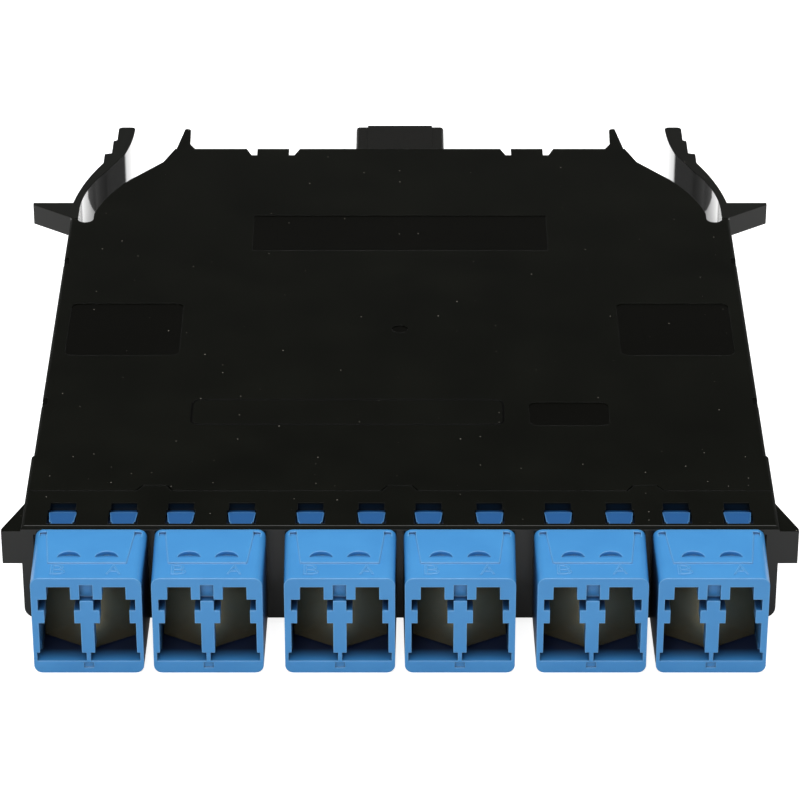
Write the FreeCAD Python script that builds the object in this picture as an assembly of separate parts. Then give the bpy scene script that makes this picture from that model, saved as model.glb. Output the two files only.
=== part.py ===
import FreeCAD, Part
import math
import os

# Fibre cassette: a flat moulded housing with six duplex LC adapters in its front edge, an MPO
# adapter in its rear edge, twelve fibres between them, and two squeeze arms that release the
# catches on its sides. X is the width, +Y runs from the front to the rear, +Z is up.
# Sizes are in millimetres. The sub-parts are drawn with the housing's front face at Y = 0 and
# the underside of the adapters at Z = 0, and are moved onto the bottom centre when saved.

# --- Housing ---------------------------------------------------------------------------------
HOUSING_LIFT = 0.8          # underside of the housing above the underside of the adapters
BODY_DEPTH = 97.15          # front face to rear edge
CHEEK = 1.72                # side wall beside the outermost adapter
STEP_OUT = 0.25             # extra width on each side of the front part
STEP_Y = 16.0               # where the wider front part ends
WALL = 1.2
FLOOR = 1.2
TOP = 1.0                   # thickness of the front strip and of the cover
EDGE_RADIUS = 0.5           # rounding of the long top edges
CORNER_RADIUS = 1.4         # lower front corners of the side walls
FIT = 0.1                   # clearance between an adapter or a cover and the base

# --- Rear end of the housing: steps inwards and rearwards along its edge at +X -------------------
NECK = (3.05, 1.4)          # from the shoulder, where the side wall ends, to the housing's edge
BEND = (1.4, 4.8)           # on to the middle of the convex turn
HIP = (2.8, 5.2)            # on to the end of that turn
TAPER = (4.1, 5.2)          # on to the end of the straight slanted edge
HORN = (1.4, 3.95)          # on to the outer side of the rear corner
HORN_REACH = 6.05           # how far the corner's rib stands out behind the rear edge
HORN_WIDTH = 2.0

# --- Front strip, windows and seam ---------------------------------------------------------------
SEAM_Y = 8.0                # seam between front strip and cover
SEAM_GAP = 0.15
TONGUE_BASE = 4.1
TONGUE_END = 2.6
TONGUE_REACH = 1.15
WINDOW_WIDTH = 3.4          # its front part, where the snap lug stands
WINDOW_REAR_WIDTH = 3.0     # its rear part
WINDOW_START = 0.8
WINDOW_STEP = 3.9           # where the rear part starts
WINDOW_END = 5.4
WINDOW_OFFSET = 3.515       # adapter centre to window centre

# --- One LC port, from the adapter's centre line and underside --------------------------------
PORT_PITCH = 6.25
PLUG_WIDTH = 4.75
WEB_HALF = 0.35             # half of the web behind the centre post, where the open leaf lies
LEDGE_GAP = 3.38            # clear width between the ledges
LATCH_WIDTH = 2.67
SLOT_SIDE = 0.35            # how far the low slot reaches past the plug's side
SLOT_WEB = 0.235            # half of the thin web between the two low slots
SILL = 1.6                  # height of the lower lip
SLOT_HEIGHT = 1.12
PLUG_HEIGHT = 5.1           # from the lip up to the ledges
LEDGE = 1.7                 # thickness of the ledges
TEE_HEIGHT = 1.47           # wide opening over the ledges
LATCH_HEIGHT = 1.66         # narrow opening over that
FACE_PLATE = 2.4            # thickness of the plate that holds the port's outline
POST_SETBACK = 1.0          # the top of the centre post stands back from the face
POST_STEP = 0.2             # the centre post ends this far below the wide opening's top
POST_RISE = 0.27            # the space over the post ends this far above the latch openings
DENT_HALF = 0.56            # half width of the small recess in the lip under the post
DENT_DEPTH = 0.2
DENT_LOW = 0.7
DENT_TOP = 1.4
PARTITION_Y = 1.0           # wall between the outer and the inner ports
PARTITION = 4.6
BOSS_RADIUS = 1.5           # tube on the wall that guides a ferrule
BORE_RADIUS = 0.66          # ferrule guide through tube and wall

# --- Shutter leaves --------------------------------------------------------------------------
LEAF = 0.2
LEAF_CLEARANCE = 0.15
LEAF_SWEEP_GAP = 0.5        # between the swinging leaf's edge and the ferrule guide
HEM = 0.36                  # square rolled edge that the leaf turns on
LEAF_SLANT = 30.0           # degrees from the face when closed

# --- Adapters --------------------------------------------------------------------------------
PAIRS = 3
ADAPTER_GAP = 0.8           # between the collars of a pair
PAIR_GAP = 2.13             # between the collars of two pairs
COLLAR_SIDE = 0.9           # collar wall beside the ports
COLLAR_ROOF = 1.3           # collar wall over the ports
COLLAR_TAPER = 0.15         # each side of the collar comes in by this towards its face
COLLAR_FALL = 0.15          # the collar's top drops by this towards its face
COLLAR_REACH = 10.2
COLLAR_RADIUS = 1.0         # rounding of its four long edges
PAD_RISE = 0.15             # raised trapezoid on top of the collar
PAD_MARGIN = 1.3            # beside the pad's rear edge
PAD_TAPER = 0.65            # each side of the pad comes in by this
PAD_LENGTH = 6.65
PAD_INSET = 0.5             # from the housing to the pad
POCKET = 0.8                # small pocket beside each rear corner of the pad
SCOOP_RADIUS = 1.3          # two half-round scoops in the pad, deepest at their round side
SCOOP_X = 2.14
SCOOP_INSET = 6.1           # from the housing to the scoops
SCOOP_DEPTH = 0.55
STEM_INSET = 0.35           # the part inside the housing is this much narrower on each side
STEM_ROOF = 0.5             # its wall over the ports
LUG_DROP = 0.35             # snap lugs end this far below the housing's top
LUG_STEP = 0.8              # length of the narrow front end of a snap lug
LUG_LENGTH = 2.9
LUG_NARROW = 0.35           # its narrow end is this much less wide on each side
LUG_TAPER = 0.2

# --- Inner plugs and fibres --------------------------------------------------------------------
FERRULE_RADIUS = 0.62
PLUG_SIZE = 4.5
PLUG_LENGTH = 10.4
PLUG_STANDOFF = 2.1         # from the wall between the ports to the plug's front
CLIP_SIDE = 0.15            # the clip that joins two inner plugs ends this far inside their sides
CLIP_LENGTH = 2.2
CLIP_HEIGHT = 3.6
BOOT_LENGTH = 6.0
BOOT_WIDTH = 2.2
BOOT_END = 1.3
FIBRE_RADIUS = 0.45
FIBRE_PITCH = 1.1
FIBRE_LEAD = 8.0            # straight run out of a boot and into the fan-out
FIBRE_TURN = 7.0            # length of each run that a bend takes up
GUIDE_RADIUS = 15.0         # curved walls that keep the fibres off the sides
GUIDE_X = 24.0
GUIDE_LEAD = 5.0            # from the guides' middle to the fan-out
GUIDE_HEIGHT = 4.5

# --- Fan-out, MPO plug and MPO adapter ---------------------------------------------------------
FANOUT_LENGTH = 9.0
FANOUT_SIDE = 0.9           # body beyond the outermost fibre
FANOUT_HEIGHT = 5.6
CABLE_RADIUS = 1.5
CABLE_RUN = 5.0             # from the fan-out to the MPO plug
MPO_WIDTH = 12.0
MPO_HEIGHT = 9.2
MPO_REACH = 9.65            # how far it stands out behind the housing
MPO_LENGTH = 20.0
MPO_WALL = 1.0
MPO_RIDGE_WIDTH = 8.8        # low ridge along the adapter's top
MPO_RIDGE = 0.25
MPO_FLANGE = 0.9            # the flange stands out by this on each side
MPO_FLANGE_THICK = 2.0
MPO_KEY_WIDTH = 3.0
MPO_KEY_DEPTH = 0.5
MPO_PLAY = 0.3              # between the plug and the adapter round it
MPO_PLUG_LENGTH = 13.8
MPO_PLUG_ENTRY = 8.0        # how far the plug's body sits in the adapter
MT_WIDTH = 6.4
MT_HEIGHT = 2.5
MT_REACH = 3.0              # how far the flat ferrule stands out of the plug

# --- Release arms: steps inwards from the side wall's line -------------------------------------
ARM = 1.0                   # wall thickness of the arm
ARM_LENGTH = 27.15          # shoulder to tip
ARM_GAP = 0.15              # between the arm's root and the side wall
ARM_OUTER = ((0.0, 3.4), (1.25, 9.8), (3.3, 15.65))    # start, middle and end of the outer bend
ARM_INNER = ((1.0, 2.6), (1.9, 8.4), (4.0, 13.45))    # the same on the inner side
GRIP_STEPS = (0.95, 0.5)    # each tooth of the grip stands this far inside the one before
GRIP_PITCH = 3.95
GRIP_BEVEL = 0.3
TIP_IN = 7.0                # inner side of the tip
TIP_RADIUS = 0.6
TIP_START = (6.1, 7.8)      # where the inner side starts to lean, inwards and before the tip
CATCH_REACH = 5.4           # how far the catch stands out from the side wall
CATCH_BEHIND = 6.9          # from the shoulder to the catch's rear face
CATCH_LENGTH = 4.4
CATCH_HEIGHT = 2.8
CATCH_DROP = 1.2            # below the housing's top
CATCH_END = 0.6             # length of its blunt outer end
EAR_REACH = 2.3
EAR_Y = 0.5
EAR_LENGTH = 6.3
EAR_HEIGHT = 4.3
EAR_DROP = 0.9
EAR_END = 0.6

# --- Marks in the cover ----------------------------------------------------------------------
RECESS = 0.12
RECESS_RADIUS = 1.0         # rounded corners of the label and plaque recesses
LABEL_LENGTH = 13.4
LABEL_WIDTH = 14.1
LABEL_MARGIN = 1.9          # from the label recess to the side
LABEL_BEFORE = 23.1         # from the label recess to the shoulder
PANEL_LENGTH = 9.9
PANEL_WIDTH = 38.2
PANEL_BEFORE = 19.55        # from the rear panel recess to the rear edge
PLAQUE_X = 20.3             # middle of the plain plaque recess
PLAQUE_WIDTH = 9.6
PLAQUE_LENGTH = 5.6
PLAQUE_BEHIND = 15.0        # from the seam to that recess
GATE_RADIUS = 1.0
FRONT_NOTCH = 20.8          # from the seam to the front notch in each side
REAR_NOTCH = 11.8           # from the rear notch to the shoulder
NOTCH_LENGTH = 1.8
NOTCH_DEPTH = 0.7
TAB_X = 17.15               # tab between two notches in the rear edge
TAB_WIDTH = 4.3
TAB_NOTCH = 1.9             # depth of those notches
TAB_NOTCH_FLAT = 0.75       # width of their bottom
TAB_NOTCH_SLANT = 0.7       # their side away from the tab leans out by this

# --- Heights and places that follow from the sizes above ---------------------------------------
SLOT_TOP = SILL + SLOT_HEIGHT
LEDGE_BOTTOM = SILL + PLUG_HEIGHT
LEDGE_TOP = LEDGE_BOTTOM + LEDGE
TEE_TOP = LEDGE_TOP + TEE_HEIGHT
LATCH_TOP = TEE_TOP + LATCH_HEIGHT
COLLAR_HEIGHT = LATCH_TOP + COLLAR_ROOF
STEM_TOP = LATCH_TOP + STEM_ROOF
COVER_UNDER = STEM_TOP + FIT
HOUSING_TOP = COVER_UNDER + TOP
HOUSING_HEIGHT = HOUSING_TOP - HOUSING_LIFT
FLOOR_TOP = HOUSING_LIFT + FLOOR
AXIS_Z = SILL + PLUG_HEIGHT / 2
PORT_X = PORT_PITCH / 2
POST_HALF = (PORT_PITCH - PLUG_WIDTH) / 2
PLUG_OUTER_X = POST_HALF + PLUG_WIDTH
COLLAR_WIDTH = 2 * (PLUG_OUTER_X + COLLAR_SIDE)
PAD_WIDTH = COLLAR_WIDTH - 2 * PAD_MARGIN
STEM_WIDTH = COLLAR_WIDTH - 2 * STEM_INSET
ADAPTER_PITCH = COLLAR_WIDTH + ADAPTER_GAP
PAIR_PITCH = ADAPTER_PITCH + COLLAR_WIDTH + PAIR_GAP
PAIR_XS = [(pair - (PAIRS - 1) / 2) * PAIR_PITCH for pair in range(PAIRS)]
ADAPTER_XS = [x + side * ADAPTER_PITCH / 2 for x in PAIR_XS for side in (-1, 1)]
HALF_WIDTH = ADAPTER_XS[-1] + STEM_WIDTH / 2 + FIT + CHEEK
FRONT_HALF = HALF_WIDTH + STEP_OUT
SHOULDER_Y = BODY_DEPTH - NECK[1] - BEND[1] - HIP[1] - TAPER[1] - HORN[1]
NECK_X = HALF_WIDTH - NECK[0]
HORN_X = NECK_X - BEND[0] - HIP[0] - TAPER[0] - HORN[0]
HORN_TIP_Y = BODY_DEPTH + HORN_REACH
FACE_Y = -COLLAR_REACH
HINGE_X = WEB_HALF + LEAF_CLEARANCE + HEM / 2
HINGE_Y = FACE_Y + FACE_PLATE + LEAF_CLEARANCE + HEM * math.sqrt(0.5)
LEAF_REACH = (PLUG_OUTER_X - LEAF_CLEARANCE - HINGE_X) / math.cos(math.radians(LEAF_SLANT)) - LEAF / 2
BOSS_Y = HINGE_Y + LEAF_REACH + LEAF_SWEEP_GAP
INNER_PORT_Y = PARTITION_Y + PARTITION
CLIP_Y = INNER_PORT_Y + PLUG_STANDOFF + PLUG_LENGTH
STEM_LENGTH = CLIP_Y - FIT
MPO_AXIS_Z = FLOOR_TOP + MPO_FLANGE / 2 + MPO_HEIGHT / 2
MPO_END_Y = BODY_DEPTH + MPO_REACH
MPO_START_Y = MPO_END_Y - MPO_LENGTH
MPO_NOSE_Y = MPO_START_Y + MPO_PLUG_ENTRY
FANOUT_END_Y = MPO_NOSE_Y - MPO_PLUG_LENGTH - CABLE_RUN
FANOUT_Y = FANOUT_END_Y - FANOUT_LENGTH
FANOUT_HALF = (4 * PAIRS - 1) * FIBRE_PITCH / 2 + FIBRE_RADIUS + FANOUT_SIDE
ARM_AXIS_X = HALF_WIDTH - ARM / 2
ARM_AXIS_Y = SHOULDER_Y + ARM_GAP + ARM / 2
ARM_TIP_Y = SHOULDER_Y + ARM_LENGTH
CATCH_REAR_Y = SHOULDER_Y + CATCH_BEHIND
LABEL_END = SHOULDER_Y - LABEL_BEFORE
NOTCH_YS = (SEAM_Y + FRONT_NOTCH, SHOULDER_Y - REAR_NOTCH)
REAR_END = max(ARM_TIP_Y, MPO_END_Y)
TO_ORIGIN = FreeCAD.Vector(0, -(REAR_END + FACE_Y) / 2, 0)


# --- Drawing helpers -------------------------------------------------------------------------
def block(x0, x1, y0, y1, z0, z1):
    """Box between two opposite corners."""
    return Part.makeBox(x1 - x0, y1 - y0, z1 - z0, FreeCAD.Vector(x0, y0, z0))


def rod(radius, start, length, direction=(0, 1, 0)):
    """Cylinder from start along direction."""
    return Part.makeCylinder(radius, length, FreeCAD.Vector(*start), FreeCAD.Vector(*direction))


def mirrored(shape):
    """The same shape on the other side of the centre plane."""
    return shape.mirror(FreeCAD.Vector(0, 0, 0), FreeCAD.Vector(1, 0, 0))


def moved(shape, x=0.0, y=0.0, z=0.0):
    """A copy of the shape, shifted."""
    copy = shape.copy()
    copy.translate(FreeCAD.Vector(x, y, z))
    return copy


def closed_wire(path, place):
    """Closed wire. A path item is (a, b), or (a, b, "via") for the middle of an arc."""
    edges = []
    start = path[0]
    via = None
    for item in path[1:] + path[:1]:
        if len(item) == 3:
            via = item
            continue
        ends = [place(start[0], start[1]), place(item[0], item[1])]
        if via:
            edges.append(Part.Arc(ends[0], place(via[0], via[1]), ends[1]).toShape())
        else:
            edges.append(Part.LineSegment(*ends).toShape())
        start = item
        via = None
    return Part.Wire(edges)


def plan(path, z0, z1):
    """Solid between two heights from an outline drawn in plan."""
    wire = closed_wire(path, lambda x, y: FreeCAD.Vector(x, y, z0))
    return Part.Face(wire).extrude(FreeCAD.Vector(0, 0, z1 - z0))


def both_sides(half):
    """Whole outline from the half at +X, which runs from front to rear."""
    other = [(-item[0],) + tuple(item[1:]) for item in reversed(half)]
    return half + other


def rounded(width, z0, z1, top_radius, low_radius):
    """Rectangle about the centre line with rounded corners, as a path in X and Z."""
    half = width / 2
    path = []
    corners = ((1, z0, 1, low_radius), (1, z1, -1, top_radius),
               (-1, z1, -1, top_radius), (-1, z0, 1, low_radius))
    for side, z, inward, radius in corners:
        short = radius * (1 - math.sqrt(0.5))
        along = [(side * (half - radius), z), (side * half, z + inward * radius)]
        middle = (side * (half - short), z + inward * short, "via")
        if side * inward < 0:
            along.reverse()
        path += [along[0], middle, along[1]]
    return path


def section(path, y):
    """Wire of an X and Z path, standing at y."""
    return closed_wire(path, lambda x, z: FreeCAD.Vector(x, y, z))


def bar(path, y0, y1):
    """Solid that keeps one X and Z section from y0 to y1."""
    return Part.Face(section(path, y0)).extrude(FreeCAD.Vector(0, y1 - y0, 0))


# --- Housing ---------------------------------------------------------------------------------
def body_half(inset, front):
    """Half outline of the housing at +X, moved inwards by inset."""
    slant = math.atan2(TAPER[0], TAPER[1])
    in_x = inset * math.cos(slant)
    in_y = inset * math.sin(slant)
    side = HALF_WIDTH - inset
    shoulder = SHOULDER_Y - inset
    neck_y = SHOULDER_Y + NECK[1]
    bend = (NECK_X - BEND[0], neck_y + BEND[1])
    hip = (bend[0] - HIP[0], bend[1] + HIP[1])
    taper = (hip[0] - TAPER[0], hip[1] + TAPER[1])
    return [
        (side, front),
        (side, shoulder),
        (NECK_X - inset, shoulder),
        (NECK_X - inset, neck_y),
        (bend[0] - inset, bend[1] - in_y / 2, "via"),
        (hip[0] - in_x, hip[1] - in_y),
        (taper[0] - in_x, taper[1] - in_y),
        (HORN_X - inset, BODY_DEPTH - inset),
    ]


def horn():
    """Pointed rib on the rear corner at +X."""
    inner = HORN_X - HORN_WIDTH
    return plan([
        (HORN_X, BODY_DEPTH - WALL),
        (HORN_X - 1.1, HORN_TIP_Y),
        (HORN_X - 1.6, HORN_TIP_Y, "via"),
        (inner + 0.1, HORN_TIP_Y - 0.5),
        (inner, BODY_DEPTH + 1.4),
        (inner - 0.7, BODY_DEPTH),
        (inner - 0.7, BODY_DEPTH - WALL),
    ], HOUSING_LIFT, HOUSING_TOP)


def slot_end():
    """Rounded closed end of the gap between the housing and the arm at +X."""
    radius = (HALF_WIDTH - ARM - NECK_X) / 2
    return rod(radius, (NECK_X + radius, SHOULDER_Y, HOUSING_LIFT), HOUSING_HEIGHT, (0, 0, 1))


def ear():
    """Wedge on the front of the side wall at +X."""
    top = HOUSING_TOP - EAR_DROP
    return plan([
        (FRONT_HALF - WALL / 2, EAR_Y),
        (FRONT_HALF + EAR_REACH, EAR_Y),
        (FRONT_HALF + EAR_REACH, EAR_Y + EAR_END),
        (FRONT_HALF, EAR_Y + EAR_LENGTH),
        (FRONT_HALF - WALL / 2, EAR_Y + EAR_LENGTH),
    ], top - EAR_HEIGHT, top)


def side_edges(shape, z):
    """Long edges of the side walls that lie at height z."""
    return [edge for edge in shape.Edges
            if edge.BoundBox.ZLength < FIT and abs(edge.BoundBox.ZMin - z) < FIT
            and edge.BoundBox.XLength < FIT and edge.BoundBox.YLength > STEP_Y / 4
            and abs(edge.BoundBox.Center.x) > HALF_WIDTH - FIT]


def stepped_slab(front, z0, z1, radius, rounded_z):
    """Slab with the housing's outline, wider up to the step, its sides rounded at one height."""
    slabs = [plan(both_sides(body_half(0, front)), z0, z1),
             block(-FRONT_HALF, FRONT_HALF, front, STEP_Y, z0, z1)]
    body, wide = [slab.makeFillet(radius, side_edges(slab, rounded_z)) for slab in slabs]
    return body.fuse(wide)


def tongue(clearance):
    """Outline of the trapezoid tongue of the front strip, about X = 0."""
    base = TONGUE_BASE / 2 + clearance
    end = TONGUE_END / 2 + clearance
    return [
        (base, SEAM_Y - WALL),
        (base, SEAM_Y + clearance),
        (end, SEAM_Y + TONGUE_REACH + clearance),
        (-end, SEAM_Y + TONGUE_REACH + clearance),
        (-base, SEAM_Y + clearance),
        (-base, SEAM_Y - WALL),
    ]


def front_strip():
    """Strip over the adapters with a tongue at each pair and a window over each port."""
    strip = block(-FRONT_HALF, FRONT_HALF, 0, SEAM_Y, COVER_UNDER, HOUSING_TOP)
    front_edge = [edge for edge in strip.Edges if edge.BoundBox.YMax < FIT
                  and edge.BoundBox.ZMin > HOUSING_TOP - FIT]
    strip = strip.makeFillet(EDGE_RADIUS, front_edge + side_edges(strip, HOUSING_TOP))
    for x in PAIR_XS:
        strip = strip.fuse(moved(plan(tongue(0), COVER_UNDER, HOUSING_TOP), x))
    steps = ((WINDOW_WIDTH / 2, WINDOW_START, WINDOW_STEP),
             (WINDOW_REAR_WIDTH / 2, WINDOW_STEP - FIT, WINDOW_END))
    for x in ADAPTER_XS:
        for centre in (x - WINDOW_OFFSET, x + WINDOW_OFFSET):
            strip = strip.cut([block(centre - half, centre + half, start, end,
                                     COVER_UNDER - FIT, HOUSING_TOP + FIT)
                               for half, start, end in steps])
    return strip


def dividers():
    """Ribs between the adapters, with the two that close the gap at the side walls."""
    reach = STEM_WIDTH / 2 + FIT
    tail = STEM_LENGTH + 2 * WALL
    ribs = []
    for left, right in zip(ADAPTER_XS, ADAPTER_XS[1:]):
        ribs.append(block(left + reach, right - reach, 0, tail, HOUSING_LIFT, COVER_UNDER))
    outer = ADAPTER_XS[-1] + reach
    groove = COLLAR_RADIUS
    cheek = block(outer, HALF_WIDTH, groove, tail, HOUSING_LIFT, COVER_UNDER)
    return ribs + [cheek, mirrored(cheek)]


def fibre_guide():
    """Curved wall on the floor at +X that keeps the fibres off the sides."""
    place = (GUIDE_X, FANOUT_Y - GUIDE_LEAD, FLOOR_TOP - FIT)
    ring = rod(GUIDE_RADIUS, place, GUIDE_HEIGHT, (0, 0, 1))
    ring = ring.cut(rod(GUIDE_RADIUS - WALL, place, GUIDE_HEIGHT, (0, 0, 1)))
    keep = block(-GUIDE_RADIUS, GUIDE_RADIUS, 0, GUIDE_RADIUS, 0, HOUSING_TOP)
    return ring.common(moved(keep, place[0], place[1]))


def cradle():
    """Low wall at +X that holds the fan-out body."""
    inner = FANOUT_HALF + FIT
    return block(inner, inner + WALL, FANOUT_Y, FANOUT_END_Y,
                 FLOOR_TOP - FIT, FLOOR_TOP + FANOUT_HEIGHT / 2)


def housing_base():
    """Floor, side and rear walls, adapter ribs and the front strip, moulded in one piece."""
    outer = stepped_slab(0, HOUSING_LIFT, COVER_UNDER, CORNER_RADIUS, HOUSING_LIFT)
    inner = plan(both_sides(body_half(WALL, -WALL)), FLOOR_TOP, HOUSING_TOP)
    bay = block(-HALF_WIDTH + WALL, HALF_WIDTH - WALL, -WALL, CLIP_Y, 0, HOUSING_TOP)
    base = outer.cut(inner).cut(bay)
    pieces = dividers() + [front_strip()]
    for piece in (ear(), cradle(), fibre_guide()):
        pieces += [piece, mirrored(piece)]
    post = plan(catch_post(), FLOOR_TOP, HOUSING_TOP - RECESS)
    base = base.fuse(pieces)
    for y in NOTCH_YS:
        base = base.fuse([moved(post, 0, y), mirrored(moved(post, 0, y))])
    low_horn = horn().common(block(-HALF_WIDTH, HALF_WIDTH, 0, HORN_TIP_Y + 1, 0, COVER_UNDER))
    base = base.fuse([low_horn, mirrored(low_horn)])
    end = slot_end()
    base = base.cut([end, mirrored(end), rear_aperture()])
    return base.removeSplitter()


def catch_post():
    """Outline about Y = 0 of a lug that stands in a notch of the cover's edge."""
    half = NOTCH_LENGTH / 2 - FIT
    outer = HALF_WIDTH - FIT
    inner = HALF_WIDTH - NOTCH_DEPTH + FIT
    return [(inner, -half), (outer, -half), (outer, half), (inner, half)]


def rear_aperture():
    """Gap in the rear wall for the MPO adapter, closed by the cover."""
    half = MPO_WIDTH / 2 + FIT
    return block(-half, half, BODY_DEPTH - 2 * WALL, BODY_DEPTH + WALL,
                 MPO_AXIS_Z - MPO_HEIGHT / 2 - FIT, COVER_UNDER)


def recess(x, width, y0, y1):
    """Shallow space with rounded corners in the cover's top, its middle at x."""
    outline = rounded(width, y0, y1, RECESS_RADIUS, RECESS_RADIUS)
    return moved(plan(outline, HOUSING_TOP - RECESS, HOUSING_TOP + TOP), x)


def tab_notch(x, outward):
    """Notch in the cover's rear edge: straight side at x, the other leans outward."""
    flat = x + outward * TAB_NOTCH_FLAT
    return plan([(x, BODY_DEPTH + FIT), (x, BODY_DEPTH - TAB_NOTCH), (flat, BODY_DEPTH - TAB_NOTCH),
                 (flat + outward * TAB_NOTCH_SLANT, BODY_DEPTH),
                 (flat + outward * TAB_NOTCH_SLANT, BODY_DEPTH + FIT)],
                COVER_UNDER, HOUSING_TOP + TOP)


def cover_marks():
    """Shallow recesses, dimples and rear notches of the cover."""
    low = HOUSING_TOP - RECESS
    high = HOUSING_TOP + TOP
    label = recess(HALF_WIDTH - LABEL_MARGIN - LABEL_WIDTH / 2, LABEL_WIDTH,
                   LABEL_END - LABEL_LENGTH, LABEL_END)
    panel_end = BODY_DEPTH - PANEL_BEFORE
    panel = block(-PANEL_WIDTH / 2, PANEL_WIDTH / 2, panel_end - PANEL_LENGTH, panel_end, low, high)
    plaque_y = SEAM_Y + PLAQUE_BEHIND
    plaque = recess(PLAQUE_X, PLAQUE_WIDTH, plaque_y, plaque_y + PLAQUE_LENGTH)
    gate = rod(GATE_RADIUS, (0, LABEL_END - LABEL_LENGTH / 2, low), TOP, (0, 0, 1))
    marks = [label, mirrored(label), panel, plaque, gate]
    for side in (-1, 1):
        for y in NOTCH_YS:
            edge = side * HALF_WIDTH
            marks.append(block(min(edge - side * NOTCH_DEPTH, edge + side * FIT),
                               max(edge - side * NOTCH_DEPTH, edge + side * FIT),
                               y - NOTCH_LENGTH / 2, y + NOTCH_LENGTH / 2, COVER_UNDER, high))
        for outward in (-1, 1):
            marks.append(tab_notch(side * TAB_X + outward * TAB_WIDTH / 2, outward))
    return marks


def cover_lip():
    """Rim under the cover that locates it inside the walls."""
    inset = WALL + FIT
    front = STEM_LENGTH + 4 * WALL
    outer = plan(both_sides(body_half(inset, front)), COVER_UNDER - WALL, COVER_UNDER)
    inner = plan(both_sides(body_half(inset + WALL, front - FIT)), 0, HOUSING_TOP)
    rear_gap = block(-MPO_WIDTH, MPO_WIDTH, BODY_DEPTH - 3 * WALL, BODY_DEPTH, 0, HOUSING_TOP)
    return outer.cut(inner).cut(rear_gap)


def housing_cover():
    """Lid from the seam to the rear edge."""
    plate = stepped_slab(SEAM_Y + SEAM_GAP, COVER_UNDER, HOUSING_TOP, EDGE_RADIUS, HOUSING_TOP)
    top_horn = horn().common(block(-HALF_WIDTH, HALF_WIDTH, 0, HORN_TIP_Y + 1,
                                   COVER_UNDER, HOUSING_TOP))
    end = slot_end()
    tongues = [moved(plan(tongue(SEAM_GAP), COVER_UNDER, HOUSING_TOP), x) for x in PAIR_XS]
    cover = plate.fuse([top_horn, mirrored(top_horn), cover_lip()])
    cover = cover.cut([end, mirrored(end)] + tongues + cover_marks())
    return cover.removeSplitter()


# --- Release arms ----------------------------------------------------------------------------
def release_arm():
    """Arm at +X: flexing wall, stepped finger grip and the catch on its outer side."""
    side = HALF_WIDTH
    outer = [(side - x, ARM_AXIS_Y + y) for x, y in ARM_OUTER]
    inner = [(side - x, ARM_AXIS_Y + y) for x, y in ARM_INNER]
    step_1 = side - ARM_OUTER[2][0] - GRIP_STEPS[0]
    step_2 = step_1 - GRIP_STEPS[1]
    tip_1 = ARM_TIP_Y - GRIP_PITCH
    tip_2 = tip_1 - GRIP_PITCH
    tip_in = side - TIP_IN
    wall = plan([
        (side, ARM_AXIS_Y),
        outer[0],
        outer[1] + ("via",),
        outer[2],
        (outer[2][0], tip_2 - GRIP_BEVEL),
        (step_1, tip_2),
        (step_1, tip_1 - GRIP_BEVEL),
        (step_2, tip_1),
        (step_2, ARM_TIP_Y - TIP_RADIUS),
        (step_2 - TIP_RADIUS * 0.3, ARM_TIP_Y - TIP_RADIUS * 0.3, "via"),
        (step_2 - TIP_RADIUS, ARM_TIP_Y),
        (tip_in + TIP_RADIUS, ARM_TIP_Y),
        (tip_in + TIP_RADIUS * 0.3, ARM_TIP_Y - TIP_RADIUS * 0.3, "via"),
        (tip_in, ARM_TIP_Y - TIP_RADIUS),
        (side - (TIP_IN * 3 + TIP_START[0]) / 4, ARM_TIP_Y - TIP_START[1] / 2, "via"),
        (side - TIP_START[0], ARM_TIP_Y - TIP_START[1]),
        inner[2],
        inner[1] + ("via",),
        inner[0],
        (side - ARM, ARM_AXIS_Y),
        (ARM_AXIS_X, ARM_AXIS_Y - ARM / 2, "via"),
    ], HOUSING_LIFT, HOUSING_TOP)
    top = HOUSING_TOP - CATCH_DROP
    catch = plan([
        (ARM_AXIS_X, CATCH_REAR_Y - CATCH_LENGTH),
        (side, CATCH_REAR_Y - CATCH_LENGTH),
        (side + CATCH_REACH, CATCH_REAR_Y - CATCH_END),
        (side + CATCH_REACH, CATCH_REAR_Y),
        (side - ARM, CATCH_REAR_Y),
    ], top - CATCH_HEIGHT, top)
    return wall.fuse(catch).removeSplitter()


# --- Adapters --------------------------------------------------------------------------------
def rectangle(width, top, y):
    """Wire of a plain rectangle from the adapter's underside up to top, standing at y."""
    half = width / 2
    return section([(-half, 0), (half, 0), (half, top), (-half, top)], y)


def collar():
    """Part of the adapter in front of the housing: it narrows a little towards its face."""
    face_top = COLLAR_HEIGHT - COLLAR_FALL
    shell = Part.makeLoft([rectangle(COLLAR_WIDTH, COLLAR_HEIGHT, 0),
                           rectangle(COLLAR_WIDTH - 2 * COLLAR_TAPER, face_top, FACE_Y)], True, True)
    long_edges = [edge for edge in shell.Edges if edge.BoundBox.YLength > COLLAR_REACH / 2]
    return shell.makeFillet(COLLAR_RADIUS, long_edges)


def pad():
    """Raised trapezoid on top of the collar."""
    rear = PAD_WIDTH / 2
    front = rear - PAD_TAPER
    end = -PAD_INSET - PAD_LENGTH
    block_up = plan([(-rear, -PAD_INSET), (-front, end), (front, end), (rear, -PAD_INSET)],
                    COLLAR_HEIGHT - 1, COLLAR_HEIGHT + 1)
    low = section([(-rear, COLLAR_HEIGHT - 1), (rear, COLLAR_HEIGHT - 1),
                   (rear, COLLAR_HEIGHT + PAD_RISE), (-rear, COLLAR_HEIGHT + PAD_RISE)], 0)
    high = section([(-rear, COLLAR_HEIGHT - 1), (rear, COLLAR_HEIGHT - 1),
                    (rear, COLLAR_HEIGHT - COLLAR_FALL + PAD_RISE),
                    (-rear, COLLAR_HEIGHT - COLLAR_FALL + PAD_RISE)], FACE_Y)
    return block_up.common(Part.makeLoft([low, high], True, True))


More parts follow.
